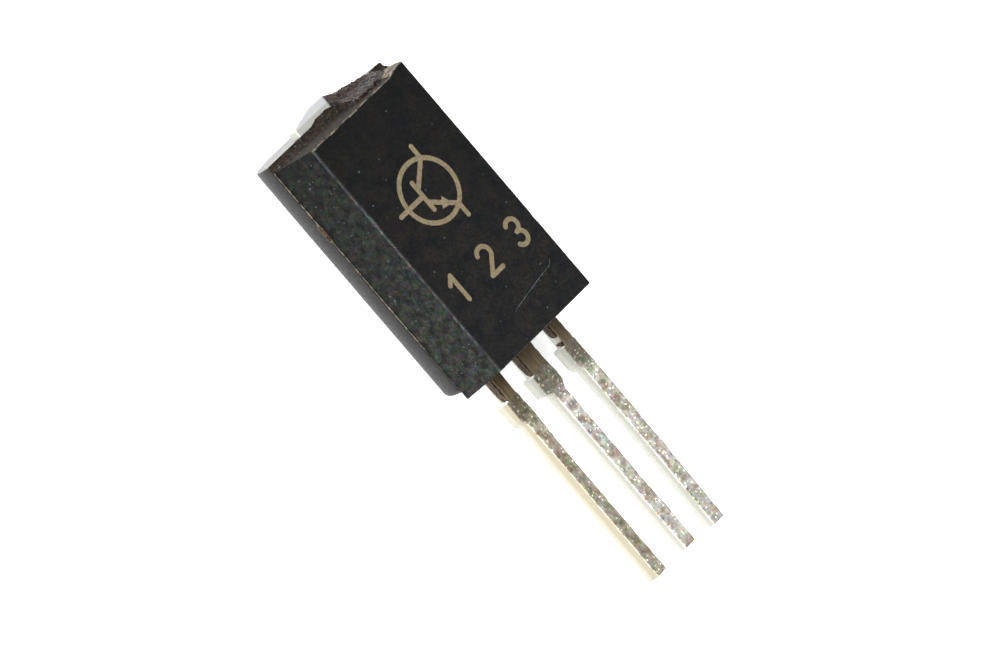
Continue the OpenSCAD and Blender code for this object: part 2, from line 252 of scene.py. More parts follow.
def resin(name, dark, light, rough, mirror, cloud_mm, grit_mm, grit_depth,
          flecks=0.0, tinge=0.5, worn=0.0):
    """Black epoxy: clouds of two shades, a grit of one size and a share of bare filler grains."""
    material, tree, mm = begin(name)
    clouds = add(tree, "TexNoise", {}, {"Vector": mm, "Scale": 1 / cloud_mm, "Detail": 5.0,
                                        "Roughness": 0.65}, "Fac")
    shade = add(tree, "MapRange", {}, {"Value": clouds, "From Min": 0.35, "From Max": 0.68})
    ground = add(tree, "Mix", {"data_type": "RGBA"},
                 {BLEND: shade, UNDER: colour(dark), OVER: colour(light)}, BLENDED)
    filmed = tinged(tree, mm, ground, RELEASE_MM, tinge)
    # Handling pales the resin towards the leads
    along = add(tree, "SeparateXYZ", {}, {"Vector": mm}, "Y")
    paler = add(tree, "MapRange", {}, {"Value": along, "From Min": MID_Y + FRONT_END,
                                       "From Max": MID_Y - FRONT_END,
                                       "To Min": 1 - worn, "To Max": 1 + worn})
    handled = add(tree, "VectorMath", {"operation": "SCALE"}, {"Vector": filmed, "Scale": paler})
    # Each filler grain has a shade of its own, and a few lie bare at the surface
    grains = add(tree, "TexVoronoi", {}, {"Vector": mm, "Scale": 1 / FILLER_MM}, "Color")
    lot = add(tree, "SeparateXYZ", {}, {"Vector": grains}, "X")
    bare = add(tree, "MapRange", {}, {"Value": lot, "From Min": 1 - flecks, "From Max": 1.0})
    tint = add(tree, "MapRange", {}, {"Value": lot, "To Min": 0.6, "To Max": 1.4})
    speckled = add(tree, "VectorMath", {"operation": "SCALE"}, {"Vector": handled, "Scale": tint})
    body = add(tree, "Mix", {"data_type": "RGBA"},
               {BLEND: bare, UNDER: speckled, OVER: colour("#4A5258")}, BLENDED)
    # The grit of the mould tilts the skin and makes its shine uneven
    grit = add(tree, "TexNoise", {}, {"Vector": mm, "Scale": 1 / grit_mm, "Detail": 3.0}, "Fac")
    skin = add(tree, "Bump", {}, {"Height": grit, "Strength": 1.0, "Distance": grit_depth * MM},
               "Normal")
    dulled = add(tree, "MapRange", {}, {"Value": grit, "From Min": 0.3, "From Max": 0.7,
                                        "To Min": rough - 0.06, "To Max": rough + 0.06})
    shine = add(tree, "BsdfPrincipled", {}, {"Base Color": body, "Roughness": dulled, "IOR": 1.5,
                                             "Specular IOR Level": mirror, "Normal": skin})
    add(tree, "OutputMaterial", {}, {"Surface": shine})
    print("resin finish:", name)
    return material


# %% Skins that the mould gave
# Marked face, off ground steel: satin, so nearly black, with a soft sheen and faint clouds
satin_face = resin("epoxy_ground_mould_face", "#0D0F12", "#1D1B18", rough=0.38, mirror=0.5,
                   cloud_mm=0.5, grit_mm=0.05, grit_depth=0.0015, flecks=0.0015, tinge=0.8,
                   worn=0.4)
# Sides of the front half, off spark-eroded steel: matt, grainy, mottled blue, green and violet
eroded_side = resin("epoxy_spark_eroded_side", "#030606", "#272925", rough=0.62, mirror=0.1,
                    cloud_mm=0.22, grit_mm=ERODED_MM, grit_depth=0.008, flecks=0.005, tinge=2.0,
                    worn=0.5)
# Both ends and the torn ledge: dust has stayed in the deep grain, so they look brown and dry
dusty_end = resin("epoxy_dusty_end", "#0E0B09", "#33291F", rough=0.75, mirror=0.15,
                  cloud_mm=0.14, grit_mm=ERODED_MM, grit_depth=0.01, flecks=0.04)
# Round back, off steel that was turned and rubbed down: smooth, dark and softly shining
smooth_back = resin("epoxy_smooth_back", "#0B0A0A", "#161413", rough=0.45, mirror=0.15,
                    cloud_mm=0.4, grit_mm=0.09, grit_depth=0.002, flecks=0.005, tinge=1.2)
# Top end of the round back, off polished steel: the glossiest of them, and evenly black
glossy_end = resin("epoxy_glossy_end", "#0B0A0A", "#121111", rough=0.3, mirror=0.3,
                   cloud_mm=0.6, grit_mm=0.09, grit_depth=0.0006, flecks=0.003)

# %% Skins that wear and breaking gave
# Edges of the face: rubbed in trays, so they draw a thin broken line of bluish grey
rubbed_edge = resin("epoxy_rubbed_edge", "#030303", "#3F4345", rough=0.5, mirror=0.2,
                    cloud_mm=0.3, grit_mm=0.06, grit_depth=0.006, flecks=0.002, tinge=2.0)
# Rim of the top end and the flash: fine crushed resin, which is chalky and pale, and painted paler
# still as an edge highlight
pale_rim_highlight = resin("epoxy_chalky_rim_highlight", "#15130F", "#857C6B", rough=0.7, mirror=0.2,
                 cloud_mm=0.22, grit_mm=0.06, grit_depth=0.006, flecks=0.04)
# Burr on one corner of the top end: the same, crushed more evenly, so it is the palest patch
pale_burr = resin("epoxy_chalky_burr", "#1A1713", "#968B78", rough=0.7, mirror=0.2,
                  cloud_mm=0.3, grit_mm=0.06, grit_depth=0.006, flecks=0.02)
# Snapped gate: broken through filler and resin alike, so its facets glint, warm grey on black
snapped_resin = resin("epoxy_snapped_gate", "#070605", "#443833", rough=0.42, mirror=0.2,
                      cloud_mm=0.1, grit_mm=0.06, grit_depth=0.008, flecks=0.09)
# Films on the necks: thin enough for light to get into, so they look brown and not black
thin_film = resin("epoxy_thin_film", "#15100C", "#5C4A3A", rough=0.6, mirror=0.2,
                  cloud_mm=0.1, grit_mm=0.06, grit_depth=0.004)

# %% [markdown]
# ## Dipped tin over stamped strip
# The leads are stamped from copper-alloy strip and hot-dipped in tin solder, which sets in a skin
# of small crystals with pits and dull blotches between them. Their sides were sheared and are
# smoother. Nothing was dipped close to the case, where the heat of moulding has left a brown stain.
# All of it could be painted on as masks; here each place picks its colour by where it lies and
# which way it faces, so the finish stays right from every side.

# %% Front of a lead
# Solder crystals are 0.02 to 0.05 mm across, and the coarse end is drawn. Dull blotches spread
# over 0.25 mm, and the dried flux over them tints like oil at 0.18 mm.
CRYSTAL_MM, BLOTCH_MM, FLUX_MM = 0.05, 0.25, 0.18


def mottled_front(tree, mm):
    """Pale solder with dull and brownish spots, seen through dried flux."""
    blotches = add(tree, "TexNoise", {}, {"Vector": mm, "Scale": 1 / BLOTCH_MM, "Detail": 5.0,
                                          "Roughness": 0.7}, "Fac")
    dull = add(tree, "MapRange", {}, {"Value": blotches, "From Min": 0.42, "From Max": 0.62})
    elsewhere = add(tree, "Mapping", {}, {"Vector": mm, "Location": (7.0, 3.0, 1.0)})
    warmth = add(tree, "TexNoise", {}, {"Vector": elsewhere, "Scale": 0.7 / BLOTCH_MM,
                                        "Detail": 2.0}, "Fac")
    browner = add(tree, "MapRange", {}, {"Value": warmth, "From Min": 0.4, "From Max": 0.65})
    spots = add(tree, "Mix", {"data_type": "RGBA"},
                {BLEND: browner, UNDER: colour("#A0A18C"), OVER: colour("#BFA897")}, BLENDED)
    mottled = add(tree, "Mix", {"data_type": "RGBA"},
                  {BLEND: dull, UNDER: colour("#F0EDE2"), OVER: spots}, BLENDED)
    return tinged(tree, mm, mottled, FLUX_MM, 0.8)


# %% Heated stub and stained neck
# Heat has dulled each stub, and the stain of the neck starts a little above it
HEAT_START, HEAT_FULL = STUB_END - 0.5, STUB_END + 0.1
STAIN_START, STAIN_FULL = NECK_END + 0.15, NECK_END + 0.2


def heated_stub(tree, along, mottled):
    """Dulls the front to a grey olive towards the case."""
    near = add(tree, "MapRange", {}, {"Value": along, "From Min": HEAT_START + MID_Y,
                                      "From Max": HEAT_FULL + MID_Y, "To Max": 0.75})
    return add(tree, "Mix", {"data_type": "RGBA"},
               {BLEND: near, UNDER: mottled, OVER: colour("#5C5946")}, BLENDED)


def stained_neck(tree, mm, along, heated):
    """Brown streaks over the front from a ragged edge on, and where they have started."""
    edge = add(tree, "TexNoise", {}, {"Vector": mm, "Scale": 6.0, "Detail": 3.0}, "Fac")
    wander = add(tree, "Math", {"operation": "MULTIPLY_ADD"}, {0: edge, 1: 0.3, 2: along})
    started = add(tree, "MapRange", {}, {"Value": wander, "From Min": STAIN_START + MID_Y,
                                         "From Max": STAIN_FULL + MID_Y})
    # The streaks follow the strip's rolling: 0.07 mm wide and ten times as long
    drawn = add(tree, "Mapping", {}, {"Vector": mm, "Scale": (14.0, 1.5, 14.0)})
    streaks = add(tree, "TexNoise", {}, {"Vector": drawn, "Scale": 1.0, "Detail": 2.0}, "Fac")
    streaky = add(tree, "MapRange", {}, {"Value": streaks, "From Min": 0.35, "From Max": 0.7})
    brown = add(tree, "Mix", {"data_type": "RGBA"},
                {BLEND: streaky, UNDER: colour("#776C56"), OVER: colour("#98886E")}, BLENDED)
    necks = add(tree, "Mix", {"data_type": "RGBA"},
                {BLEND: started, UNDER: heated, OVER: brown}, BLENDED)
    return necks, started


print("stubs dull from y", round(HEAT_START, 2), "and stain from", round(STAIN_START, 2))

# %% Crystals
# How far a crystal tilts the skin, on the smooth places and on the dipped front
SMOOTH_TILT, CRYSTAL_TILT = 0.1, 0.75


def crystal_plane(tree, mm, facing, grown):
    """The way the skin faces: ripples, and a few grains that lean to the lamp and glint."""
    ripples = add(tree, "TexNoise", {}, {"Vector": mm, "Scale": 0.5 / CRYSTAL_MM, "Detail": 3.0,
                                         "Roughness": 0.6}, "Color")
    tilts = add(tree, "VectorMath", {"operation": "SUBTRACT"}, {0: ripples, 1: (0.5, 0.5, 0.5)})
    grains = add(tree, "TexVoronoi", {}, {"Vector": mm, "Scale": 1.1 / CRYSTAL_MM}, "Color")
    lot = add(tree, "SeparateXYZ", {}, {"Vector": grains}, "X")
    flash = add(tree, "MapRange", {}, {"Value": lot, "From Min": 0.93, "From Max": 0.97,
                                       "To Max": 0.5})
    to_lamp = add(tree, "VectorMath", {"operation": "SCALE"}, {0: (-1.5, 0.3, 0.0), "Scale": flash})
    uneven = add(tree, "VectorMath", {"operation": "ADD"}, {0: tilts, 1: to_lamp})
    amount = add(tree, "MapRange", {}, {"Value": grown, "To Min": SMOOTH_TILT,
                                        "To Max": CRYSTAL_TILT})
    leaning = add(tree, "VectorMath", {"operation": "SCALE"}, {"Vector": uneven, "Scale": amount})
    tilted = add(tree, "VectorMath", {"operation": "ADD"}, {0: facing, 1: leaning})
    return add(tree, "VectorMath", {"operation": "NORMALIZE"}, {0: tilted})


# %% The whole lead finish
# From this depth down a side is painted lighter: a painted reflection of the white sheet on its
# lower half. The tie bar was sheared too, and then torn off over its last stretch
REFLECTION_START, REFLECTION_FULL = FRAME_TOP - 0.16, FRAME_TOP - 0.26
TORN_Y = BACK_TOP + 0.19
# Clean tin is all metal with a roughness of 0.2; oxide makes this skin rougher and partly a powder
METAL_SHARE, SMOOTH_ROUGH, CRYSTAL_ROUGH = 0.7, 0.6, 0.5


def dipped_tin(name, sheared, tint_and_shade):
    """Tin solder skin on a lead, with the tone of its sheared sides and a tint over all, which on
    the emitter is partly painted shade.
    """
    material, tree, mm = begin(name)
    facing = add(tree, "NewGeometry", out="Normal")
    upward = add(tree, "SeparateXYZ", {}, {"Vector": facing}, "Z")
    ahead = add(tree, "SeparateXYZ", {}, {"Vector": facing}, "Y")
    along = add(tree, "SeparateXYZ", {}, {"Vector": mm}, "Y")
    height = add(tree, "SeparateXYZ", {}, {"Vector": mm}, "Z")
    front = add(tree, "MapRange", {}, {"Value": upward, "From Min": 0.25, "From Max": 0.6})
    # Painted reflection: a side turns lighter towards its lower edge, as if it mirrored the white
    # sheet
    floor_reflection = add(tree, "MapRange", {}, {"Value": height, "From Min": REFLECTION_START,
                                        "From Max": REFLECTION_FULL})
    side = add(tree, "Mix", {"data_type": "RGBA"},
               {BLEND: floor_reflection, UNDER: colour(sheared), OVER: colour("#C4C4BC")}, BLENDED)
    heated = heated_stub(tree, along, mottled_front(tree, mm))
    necks, started = stained_neck(tree, mm, along, heated)
    outside = add(tree, "Mix", {"data_type": "RGBA"},
                  {BLEND: front, UNDER: side, OVER: necks}, BLENDED)
    # The tie bar past the top end is plain, and white where it was torn off
    beyond = add(tree, "Math", {"operation": "GREATER_THAN"}, {0: along, 1: BACK_TOP + MID_Y})
    torn = add(tree, "Math", {"operation": "GREATER_THAN"}, {0: along, 1: TORN_Y + MID_Y})
    bar = add(tree, "Mix", {"data_type": "RGBA"},
              {BLEND: torn, UNDER: colour("#C6C7C0"), OVER: colour("#DEDFE1")}, BLENDED)
    whole = add(tree, "Mix", {"data_type": "RGBA"},
                {BLEND: beyond, UNDER: outside, OVER: bar}, BLENDED)
    # Tint over all; on the emitter it is partly painted shade
    coat = add(tree, "VectorMath", {"operation": "MULTIPLY"}, {0: whole, 1: colour(tint_and_shade)[:3]})
    # Crystals grew only on the dipped front
    covered = add(tree, "Math", {"operation": "ADD"}, {0: started, 1: beyond})
    grown = add(tree, "Math", {"operation": "SUBTRACT", "use_clamp": True}, {0: front, 1: covered})
    rough = add(tree, "MapRange", {}, {"Value": grown, "To Min": SMOOTH_ROUGH,
                                       "To Max": CRYSTAL_ROUGH})
    # Flux dries to a chalky film on the shoulders that face the case
    shoulder = add(tree, "MapRange", {}, {"Value": ahead, "From Min": 0.3, "From Max": 0.7})
    below = add(tree, "Math", {"operation": "LESS_THAN"}, {0: along, 1: MID_Y})
    chalky = add(tree, "Math", {"operation": "MULTIPLY"}, {0: shoulder, 1: below})
    bare = add(tree, "Math", {"operation": "SUBTRACT"}, {0: 1.0, 1: chalky})
    chalk = add(tree, "Mix", {"data_type": "RGBA"},
                {BLEND: bare, UNDER: colour("#F1F0EA"), OVER: coat}, BLENDED)
    metal = add(tree, "Math", {"operation": "MULTIPLY"}, {0: bare, 1: METAL_SHARE})
    shine = add(tree, "BsdfPrincipled", {}, {"Base Color": chalk, "Roughness": rough,
                                             "Metallic": metal,
                                             "Normal": crystal_plane(tree, mm, facing, grown)})
    add(tree, "OutputMaterial", {}, {"Surface": shine})
    print("lead finish:", name)
    return material


# Collector and base: bright dipped tin, silvery and speckled with glints
bright_tin = dipped_tin("tin_dipped_bright", "#B2B2AA", "#FFFFFF")
# Emitter: the same, tinted yellower so that its side looks like cream, and darker as painted shade,
# since its twisted tail faces the lamp more
yellowed_shaded_tin = dipped_tin("tin_dipped_yellowed_shaded", "#B3AEA0", "#F2EEE4")

# %% [markdown]
# ## From a drawing to a piece
# Every piece is drawn as a bmesh in the case's own millimetres, and only the finished mesh is
# scaled to metres. Modifiers can be used on the way, with sizes that mean something at a bench.
# A relief needs points to carry it, so a drawing can be sliced into a fine net.

# %% Modifiers on a drawing


def with_modifiers(form, *kinds):
    """The bmesh again, after modifiers given as (kind, settings)."""
    mesh = bpy.data.meshes.new("blank")
    form.to_mesh(mesh)
    form.free()
    blank = bpy.data.objects.new("blank", mesh)
    bpy.context.scene.collection.objects.link(blank)
    for kind, settings in kinds:
        modifier = blank.modifiers.new(kind.lower(), kind)
        for name, value in settings.items():
            setattr(modifier, name, value)
    shaped = bmesh.new()
    shaped.from_object(blank, bpy.context.evaluated_depsgraph_get())
    bpy.data.objects.remove(blank)
    bpy.data.meshes.remove(mesh)
    return shaped


# %% Keeping a piece


def in_order(form):
    """Sorts points by place, then edges and faces by their points, so every run gives one mesh."""
    def points_of(part):
        return sorted(v.index for v in part.verts)

    for parts, key in ((form.verts, lambda v: v.co[:]), (form.edges, points_of),
                       (form.faces, points_of)):
        rank = {part: i for i, part in enumerate(sorted(parts, key=key))}
        parts.sort(key=rank.get)
        parts.index_update()


def keep(name, form, finishes, node, smooth=True):
    """Turns a drawing in millimetres into a piece of the part that stands for a node."""
    in_order(form)
    mesh = bpy.data.meshes.new(name)
    for face in form.faces:
        face.smooth = smooth
    form.to_mesh(mesh)
    form.free()
    mesh.transform(Matrix.Scale(MM, 4) @ Matrix.Translation((MID_X, MID_Y, 0)))
    piece = bpy.data.objects.new(name, mesh)
    bpy.context.scene.collection.objects.link(piece)
    for finish in finishes:
        mesh.materials.append(finish)
    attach(piece, "root")
    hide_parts(node)
    print(name, "faces:", len(mesh.polygons))


def keep_resin(name, form, finishes, smooth=False):
    """A piece of the case: whatever is moulded stands for the one node of the case."""
    keep(name, form, finishes, "case", smooth)


# %% Slicing and closing a drawing


def slice_up(form, step):
    """Cuts a drawing by evenly spaced planes, so that it has points enough to carry a relief."""
    for axis in range(3):
        reach = [v.co[axis] for v in form.verts]
        low, high = min(reach), max(reach)
        count = math.ceil((high - low) / step)
        across = Vector([float(axis == i) for i in range(3)])
        for i in range(1, count):
            everything = form.verts[:] + form.edges[:] + form.faces[:]
            bmesh.ops.bisect_plane(form, geom=everything, dist=1e-5, plane_no=across,
                                   plane_co=across * (low + (high - low) * i / count))


def tube_of(form, rows):
    """Faces between neighbouring rings of points, with both ends closed."""
    for a, b in zip(rows, rows[1:]):
        for j in range(len(a)):
            form.faces.new((a[j - 1], a[j], b[j], b[j - 1]))
    form.faces.new(rows[0])
    form.faces.new(reversed(rows[-1]))
    bmesh.ops.recalc_face_normals(form, faces=form.faces)


def lump_of(form, rows, place):
    """A sheet of rows of points made a closed lump: its rim is drawn back by place, and filled."""
    for a, b in zip(rows, rows[1:]):
        for j in range(len(a) - 1):
            form.faces.new((a[j], a[j + 1], b[j + 1], b[j]))
    rim = (rows[0] + [row[-1] for row in rows[1:-1]] + rows[-1][::-1]
           + [row[0] for row in rows[-2:0:-1]])
    root = [form.verts.new(v.co) for v in rim]
    for i, v in enumerate(root):
        place(v.co)
        form.faces.new((rim[i - 1], rim[i], v, root[i - 1]))
    form.faces.new(root)
    bmesh.ops.recalc_face_normals(form, faces=form.faces)


# %% [markdown]
# ## Front half of the case
# The front half is a shallow block whose four sides lean in towards the marked face, so that it
# leaves the mould. Eight corners and a small bevel give that form exactly. A plain block would
# look like a toy, so it is cut into a fine net, and every point is sunk a few microns by noise:
# more on the eroded sides than on the face, and most along the edges, which knocks have nicked.

# %% Block of the front half
EDGE_R, NET = 0.05, 0.085


def front_block():
    """The bevelled block, cut into a fine net."""
    form = bmesh.new()
    rims = []
    for half_w, half_l, z in ((BACK_R, FRONT_END, SEAM_Z), (FACE_W / 2, FACE_END, FACE_Z)):
        rims.append([form.verts.new((x * half_w, y * half_l, z))
                     for x, y in ((-1, -1), (1, -1), (1, 1), (-1, 1))])
    foot, face = rims
    form.faces.new(reversed(foot))
    form.faces.new(face)
    for i in range(4):
        form.faces.new((foot[i - 1], foot[i], face[i], face[i - 1]))
    sharp = [e for e in form.edges if max(v.co.z for v in e.verts) > SEAM_Z + EDGE_R]
    bmesh.ops.bevel(form, geom=sharp, offset=EDGE_R, segments=3, profile=0.5, affect="EDGES")
    slice_up(form, NET)
    form.normal_update()
    return form


front = front_block()
print("front half's net has", len(front.verts), "points")

# %% Wear
# The eroded grain sinks up to 8 microns and a fifth of that on the face; nicks are 0.05 mm deep,
# reach 0.12 mm down from the face and leave half of the rim whole
SINK, FACE_SHARE, NICK, NICK_REACH, NICK_FREE = 0.008, 0.2, 0.05, 0.12, 0.25


def wear(form):
    """Sinks each point by fine noise, and the rims of the face by nicks here and there."""
    moves = []
    for v in form.verts:
        flat = v.normal.z > 0.95
        depth = SINK * (FACE_SHARE if flat else 1.0) * (0.5 + 0.5 * noise.noise(v.co * 7))
        rim = 1 - min(1, (FACE_Z - v.co.z) / NICK_REACH)
        if rim > 0 and not flat:
            bite = noise.noise(v.co * 2.3 + Vector((5, 0, 0))) - NICK_FREE
            depth += NICK * rim * max(0, bite)
        moves.append((v, v.normal * -depth))
    for v, move in moves:
        v.co += move
    print("deepest wear, mm:", round(max(move.length for v, move in moves), 3))


wear(front)

# %% Burr at the top end's corner on the base side
BURR_X, BURR_Z, BURR_W, BURR_H, BURR_RISE = FACE_W / 2 - 0.12, FACE_Z - 0.35, 0.55, 1.3, 0.11


def burr_share(place):
    """How much a point belongs to the burr, from 1 in its middle to 0 past its rim."""
    across = (place.x - BURR_X) / BURR_W
    down = (place.z - BURR_Z) / BURR_H
    return max(0, 1 - across ** 2 - down ** 2) if place.y > FACE_END - 0.12 else 0


for v in front.verts:
    v.co.y += BURR_RISE * burr_share(v.co)
print("burr stands out by", BURR_RISE)

# %% Which finish a face of the front half gets
FRONT_FINISHES = [satin_face, eroded_side, dusty_end, rubbed_edge, pale_rim_highlight, pale_burr]


def front_finish(face):
    """Picks by where a face lies and which way it looks; noise makes the burr's patch ragged."""
    n, middle = face.normal, face.calc_center_median()
    if n.z > 0.9:
        return satin_face
    if burr_share(middle) + 0.3 * noise.noise(middle * 5) > 0.35:
        return pale_burr
    if n.z > 0.35:
        # Bevels along the top end take the pale rim, which is partly a painted highlight
        return pale_rim_highlight if n.y > 0.3 else rubbed_edge
    return dusty_end if abs(n.y) > 0.8 else eroded_side


for face in front.faces:
    face.normal_update()
    face.material_index = FRONT_FINISHES.index(front_finish(face))

# %% Front half
# The upper part is lowered by three microns, so that what lies on the face stays inside the part
SHY = 0.003
for v in front.verts:
    if v.co.z > SEAM_Z + 0.5:
        v.co.z -= SHY
keep_resin("front_half", front, FRONT_FINISHES, smooth=True)

# %% [markdown]
# ## Back half of the case
# The back half is half of a turned bar: a profile with a small round at each rim, spun through
# 180 degrees about the parting line. Its ends lean in by one degree, and its crown has the narrow
# flat that it lies on, with the round print of the ejector pin in it. It sits a little nearer
# the top end, because the two mould plates were never quite in line.

# %% Profile of the back half
TOP_RIM_R, FOOT_RIM_R = 0.06, 0.16
RIM_STEPS, END_STEPS, CELL = 6, 14, 0.12


def back_profile():
    """Radius and y of the turned bar, from the middle of its foot to the middle of its top."""
    points = [(BACK_R * i / END_STEPS, BACK_FOOT) for i in range(END_STEPS - 1)]
    for i in range(RIM_STEPS + 1):
        a = math.radians(90 * i / RIM_STEPS)
        points.append((BACK_R - FOOT_RIM_R * (1 - math.sin(a)),
                       BACK_FOOT + FOOT_RIM_R * (1 - math.cos(a))))
    straight = BACK_TOP - TOP_RIM_R - BACK_FOOT - FOOT_RIM_R
    count = math.ceil(straight / CELL)
    points += [(BACK_R, BACK_FOOT + FOOT_RIM_R + straight * i / count) for i in range(1, count)]
    for i in range(RIM_STEPS + 1):
        a = math.radians(90 * i / RIM_STEPS)
        points.append((BACK_R - TOP_RIM_R * (1 - math.cos(a)),
                       BACK_TOP - TOP_RIM_R * (1 - math.sin(a))))
    points += [(BACK_R * i / END_STEPS, BACK_TOP) for i in range(END_STEPS - 2, -1, -1)]
    return points


print("points in the back's profile:", len(back_profile()))

# %% Ejector print
EJECTOR_R, EJECTOR_DEPTH, EJECTOR_BAND = 0.8, 0.1, 0.06


def press_ejector(form):
    """Sinks a round print in the crown; points near its rim are drawn onto the circle."""
    for v in [v for v in form.verts if v.co.z < 0.4]:
        reach = math.hypot(v.co.x, v.co.y)
        if abs(reach - EJECTOR_R) < EJECTOR_BAND:
            v.co.x *= EJECTOR_R / reach
            v.co.y *= EJECTOR_R / reach
            v.co.z = max(0, SEAM_Z - math.sqrt(BACK_R ** 2 - v.co.x ** 2))
        elif reach < EJECTOR_R:
            v.co.z = max(v.co.z, EJECTOR_DEPTH)


# %% Block of the back half
TURNS, BACK_DRAFT, CROWN_SLOPE = 72, 1.0, 0.2
BACK_MID = (BACK_TOP + BACK_FOOT) / 2
BACK_HALF_L = (BACK_TOP - BACK_FOOT) / 2


def back_block():
    """The profile spun, leant in at its ends and flattened on the table."""
    form = bmesh.new()
    points = [form.verts.new((r, y, SEAM_Z)) for r, y in back_profile()]
    line = [form.edges.new(pair) for pair in zip(points, points[1:])]
    bmesh.ops.spin(form, geom=points + line, cent=(0, 0, SEAM_Z), axis=(0, 1, 0),
                   angle=math.pi, steps=TURNS)
    bmesh.ops.remove_doubles(form, verts=form.verts, dist=1e-4)
    lean = math.tan(math.radians(BACK_DRAFT)) / BACK_HALF_L
    for v in form.verts:
        v.co.y = BACK_MID + (v.co.y - BACK_MID) * (1 - lean * (SEAM_Z - v.co.z))
        v.co.z = max(v.co.z, 0, abs(v.co.y - BACK_MID) - BACK_HALF_L + CROWN_SLOPE)
    press_ejector(form)
    bmesh.ops.holes_fill(form, edges=[e for e in form.edges if e.is_boundary])
    bmesh.ops.recalc_face_normals(form, faces=form.faces)
    return form


back = back_block()
print("back half's length, mm:", round(2 * BACK_HALF_L, 2))

# %% Back half
# The steel's waves are 3 microns deep, and end where the half meets the table and the front half
WAVE, CLEAR = 0.003, 0.01
for v in back.verts:
    if CLEAR < v.co.z < SEAM_Z - CLEAR:
        v.co -= v.normal * WAVE * (0.5 + 0.5 * noise.noise(v.co * 2))
for face in back.faces:
    face.normal_update()
    ledge, top_end = face.normal.z > 0.9, face.normal.y > 0.7
    face.material_index = 1 if ledge else 2 * top_end
keep_resin("back_half", back, [smooth_back, dusty_end, glossy_end], smooth=True)

# %% [markdown]
# ## Flash along the parting line
# Resin creeps between the mould plates and leaves a thin ragged ridge, snapped off by hand. It
# could be painted as a line, but it catches light like a wire, so it is a real ridge: a strip of
# stations along the case whose tips stand out by a noisy few hundredths. One thicker nub stayed.

# %% Tips of the flash
SEAM_H, NUB_L, NUB_DROP = 0.03, 0.75, 2.0
NUB_Y = FACE_END - NUB_DROP


def flash_tip(side, y):
    """How far the ridge stands out at a place along one side."""
    ragged = 0.5 + 0.5 * noise.noise(Vector((side * 9, y * 4, 0)))
    ragged *= 0.6 + 0.4 * noise.noise(Vector((side * 5, y * 17, 3)))
    tip = SEAM_H * min(1, 0.25 + 0.9 * ragged)
    if side < 0:
        nub = 1 - abs(y - NUB_Y) / (NUB_L / 2)
        tip = max(tip, NUB_H * min(1, 2.5 * nub) * (0.9 + 0.1 * ragged))
    return tip


print("nub at y", round(NUB_Y, 2), "stands out", round(flash_tip(-1, NUB_Y), 3))

# %% Flash
FLASH_STATIONS, FLASH_ROOT, FLASH_HALF_T, PALE_FROM = 220, 0.05, 0.018, -2.2


def flash_strip(side):
    """A ridge of four-cornered rings along one side, its root sunk in the case."""
    form = bmesh.new()
    rows = []
    low, high = BACK_FOOT + FOOT_RIM_R, FRONT_END - 0.02
    for i in range(FLASH_STATIONS + 1):
        y = low + (high - low) * i / FLASH_STATIONS
        tip = flash_tip(side, y)
        half = FLASH_HALF_T + 0.5 * max(0, tip - SEAM_H)
        middle = SEAM_Z + 0.01 * noise.noise(Vector((side, y * 6, 7)))
        ring = ((-FLASH_ROOT, -half), (tip, -half / 2), (tip, half / 2), (-FLASH_ROOT, half))
        rows.append([form.verts.new((side * (BACK_R + out), y, middle + up)) for out, up in ring])
    tube_of(form, rows)
    return form


# The nub is brown and thin, and from below the middle upwards the flash is pale: crushed resin with
# a painted highlight
for side, name in ((-1, "flash_emitter_side"), (1, "flash_base_side")):
    ridge = flash_strip(side)
    for face in ridge.faces:
        y = face.calc_center_median().y
        face.material_index = 2 if abs(y - NUB_Y) < NUB_L / 3 else int(y > PALE_FROM)
    keep_resin(name, ridge, [rubbed_edge, pale_rim_highlight, thin_film])

# %% [markdown]
# ## The snapped gate
# Resin enters the mould through a gate on the top end, and that sprue is snapped off. Filled
# epoxy breaks like stone, in small flat facets. So the break is a net of heights, rough with
# noise, that a decimate modifier then turns into uneven flat facets, and it stays flat shaded.

# %% Heights of the break
GATE_X, GATE_W, GATE_FRONT, GATE_BACK, FRACTURE = 0.36, 1.45, 1.0, 0.5, 0.05
TIP = BACK_TOP + GATE_H - 0.002


def between(x, points):
    """Height of a line through points (place, height), at place x."""
    for (x0, y0), (x1, y1) in zip(points, points[1:]):
        if x <= x1:
            return y0 + (y1 - y0) * max(0, x - x0) / (x1 - x0)
    return points[-1][1]


def gate_height(x, z):
    """The break falls off from its upright face and from the parting line, and is rough."""
    over = between(x, [(GATE_X, TIP), (GATE_X + GATE_W / 8, TIP - GATE_H / 4),
                       (GATE_X + GATE_W / 2, BACK_TOP + GATE_H / 2.5),
                       (GATE_X + GATE_W, BACK_TOP)])
    front = between(z, [(SEAM_Z - GATE_BACK, TIP - GATE_H / 2), (SEAM_Z - GATE_BACK / 2, TIP),
                        (SEAM_Z, TIP), (SEAM_Z + GATE_FRONT / 3, BACK_TOP),
                        (SEAM_Z + GATE_FRONT, FRONT_END)])
    rough = sum(noise.noise(Vector((x * f, z * f, f))) * share
                for f, share in ((4, 1), (11, 0.5), (25, 0.5)))
    return min(TIP, min(over, front) + FRACTURE * rough)


print("height at the gate's corner:", round(gate_height(GATE_X, SEAM_Z), 3))

# %% Gate
GATE_STEPS, FACETS, GATE_ROOT = 60, 0.25, FACE_END - 0.05


def to_gate_root(place):
    place.y = GATE_ROOT


def gate_lump():
    """The net of heights, with its rim drawn back into the case."""
    form = bmesh.new()
    grid = []
    for i in range(GATE_STEPS + 1):
        x = GATE_X + GATE_W * i / GATE_STEPS
        column = []
        for j in range(GATE_STEPS + 1):
            z = SEAM_Z - GATE_BACK + (GATE_FRONT + GATE_BACK) * j / GATE_STEPS
            column.append(form.verts.new((x, gate_height(x, z), z)))
        grid.append(column)
    lump_of(form, grid, to_gate_root)
    return form


